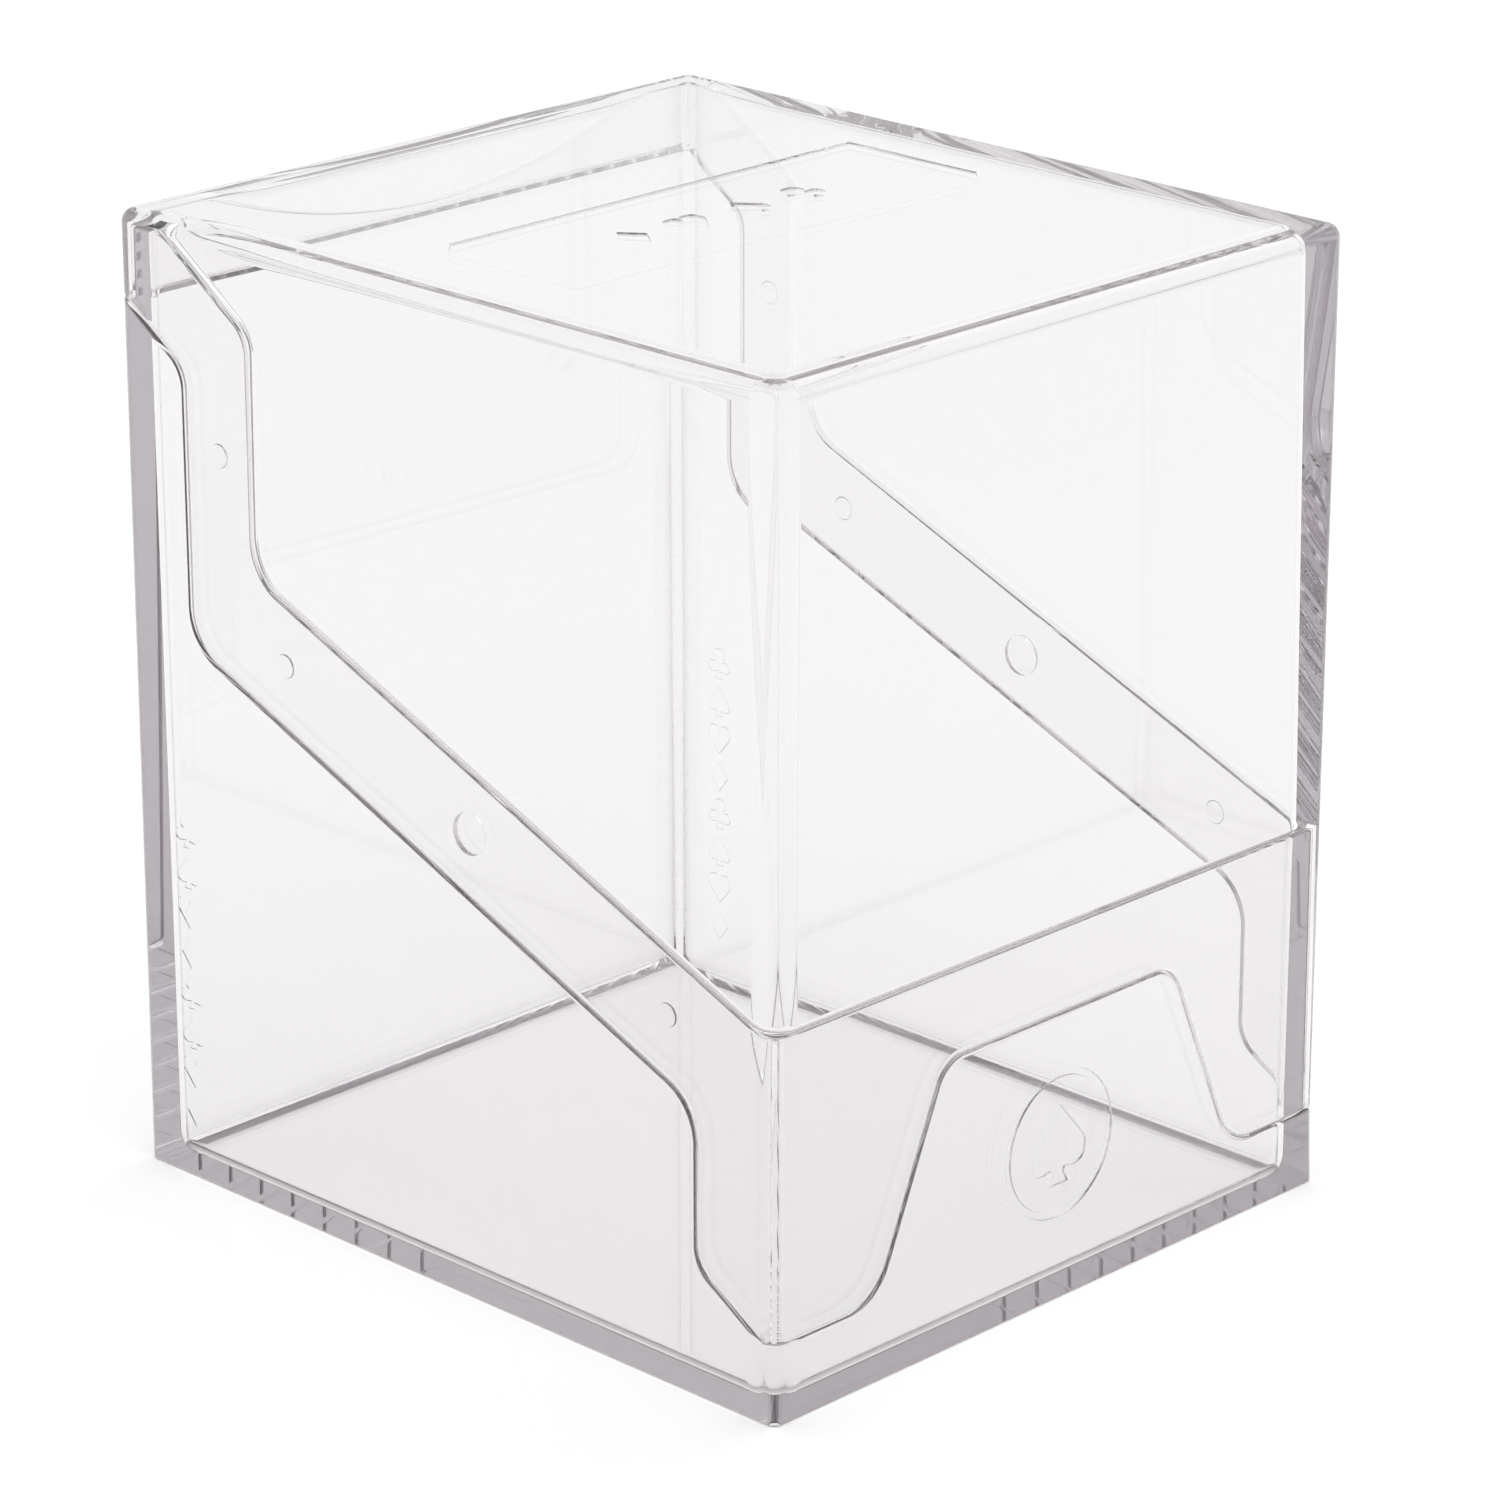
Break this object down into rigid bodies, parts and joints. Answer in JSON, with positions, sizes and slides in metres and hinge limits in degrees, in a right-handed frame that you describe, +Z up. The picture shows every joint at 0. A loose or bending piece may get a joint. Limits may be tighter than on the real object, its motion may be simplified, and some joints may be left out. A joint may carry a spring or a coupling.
{
  "type": "card deck box",
  "caption": "Clear rectangular deck box with a slide-off lid, a sweeping parting line, a rebated inner lip and a thumb hump at the front.",
  "frame": {"origin": "centre of the underside, on the surface the box stands on", "axes": "+Z up, the front face with the thumb hump towards -Y, the two swept side faces towards -X and +X"},
  "size_m": [0.0816, 0.0924, 0.104],
  "materials": {
    "clear_plastic_base": "polished, crystal clear, very faint lavender-grey tint",
    "clear_plastic_lid": "polished, crystal clear, very faint lavender-grey tint"
  },
  "bodies": {
    "base": {"base": "clear_plastic_base"},
    "lid": {"lid": "clear_plastic_lid"}
  },
  "joints": [
    {"name": "lid_lift", "type": "slide", "parent": "base", "child": "lid", "axis": [0, 0, 1], "range_m": [0, 0.1]}
  ]
}
